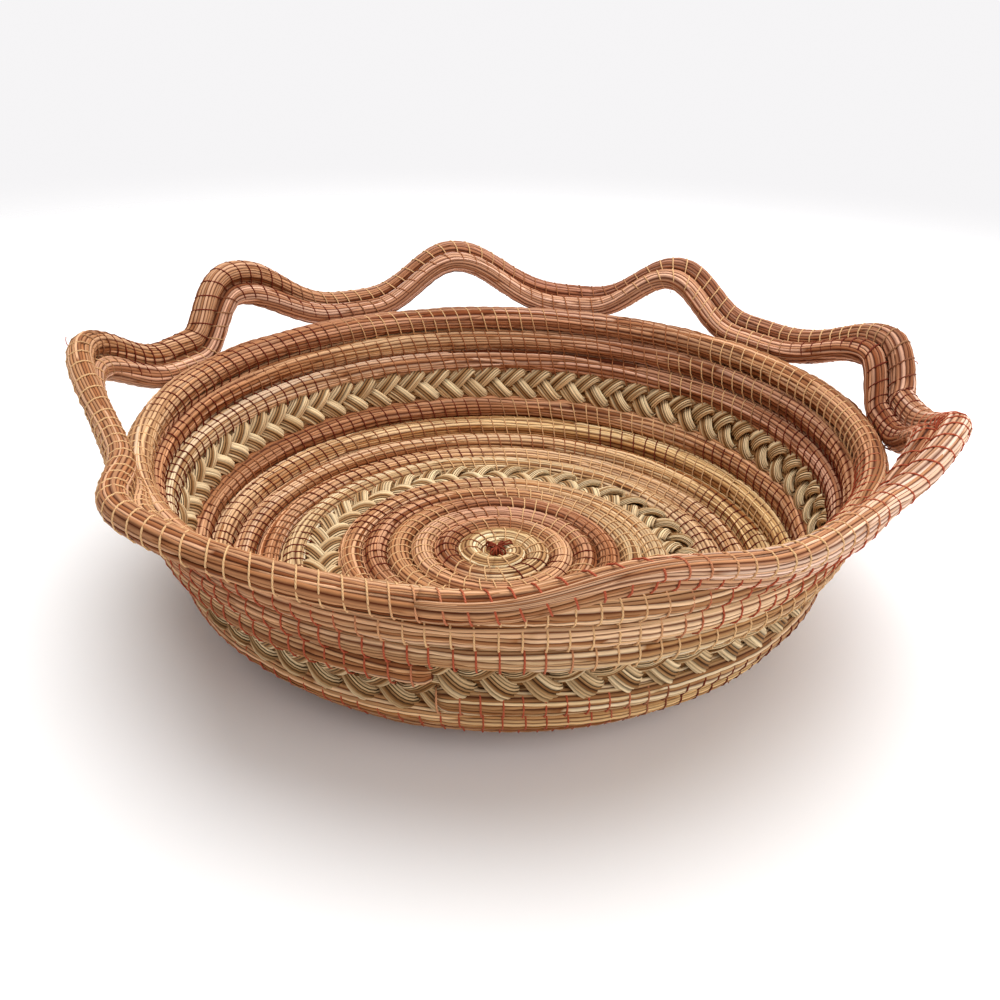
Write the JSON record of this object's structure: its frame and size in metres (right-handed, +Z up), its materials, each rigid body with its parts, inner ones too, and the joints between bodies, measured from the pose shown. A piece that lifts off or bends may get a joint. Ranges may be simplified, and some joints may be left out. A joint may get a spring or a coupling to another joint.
{
  "type": "pine needle basket",
  "caption": "Round coiled pine needle basket with flared wall, two braided turns and a double wavy rim with open arches.",
  "frame": {"origin": "on the floor under the start of the coil, in the middle of the base", "axes": "+Z up, -Y towards the picture's camera, +X to the right in the picture"},
  "size_m": [0.2905, 0.2867, 0.0919],
  "materials": {
    "needles_straw": "dry straw-green pine needles, satin",
    "needles_russet": "dry russet pine needles, satin",
    "needles_tan": "dry tan pine needles, satin",
    "needles_golden": "dry golden pine needles, satin",
    "needles_brown": "dry brown pine needles, satin",
    "grass_braid": "dry braided grass, satin",
    "stitch_thread": "variegated waxed thread, cream to dark red"
  },
  "bodies": {
    "root": {"coil_start": "needles_straw", "centre_coil": "needles_straw", "base_coil": "needles_russet", "base_braid": "grass_braid", "floor_edge_coil": "needles_tan", "wall_foot_coil": "needles_golden", "wall_braid": "grass_braid", "upper_wall_coil": "needles_brown", "rim_lower_coil": "needles_russet", "rim_upper_coil": "needles_tan"}
  },
  "joints": []
}
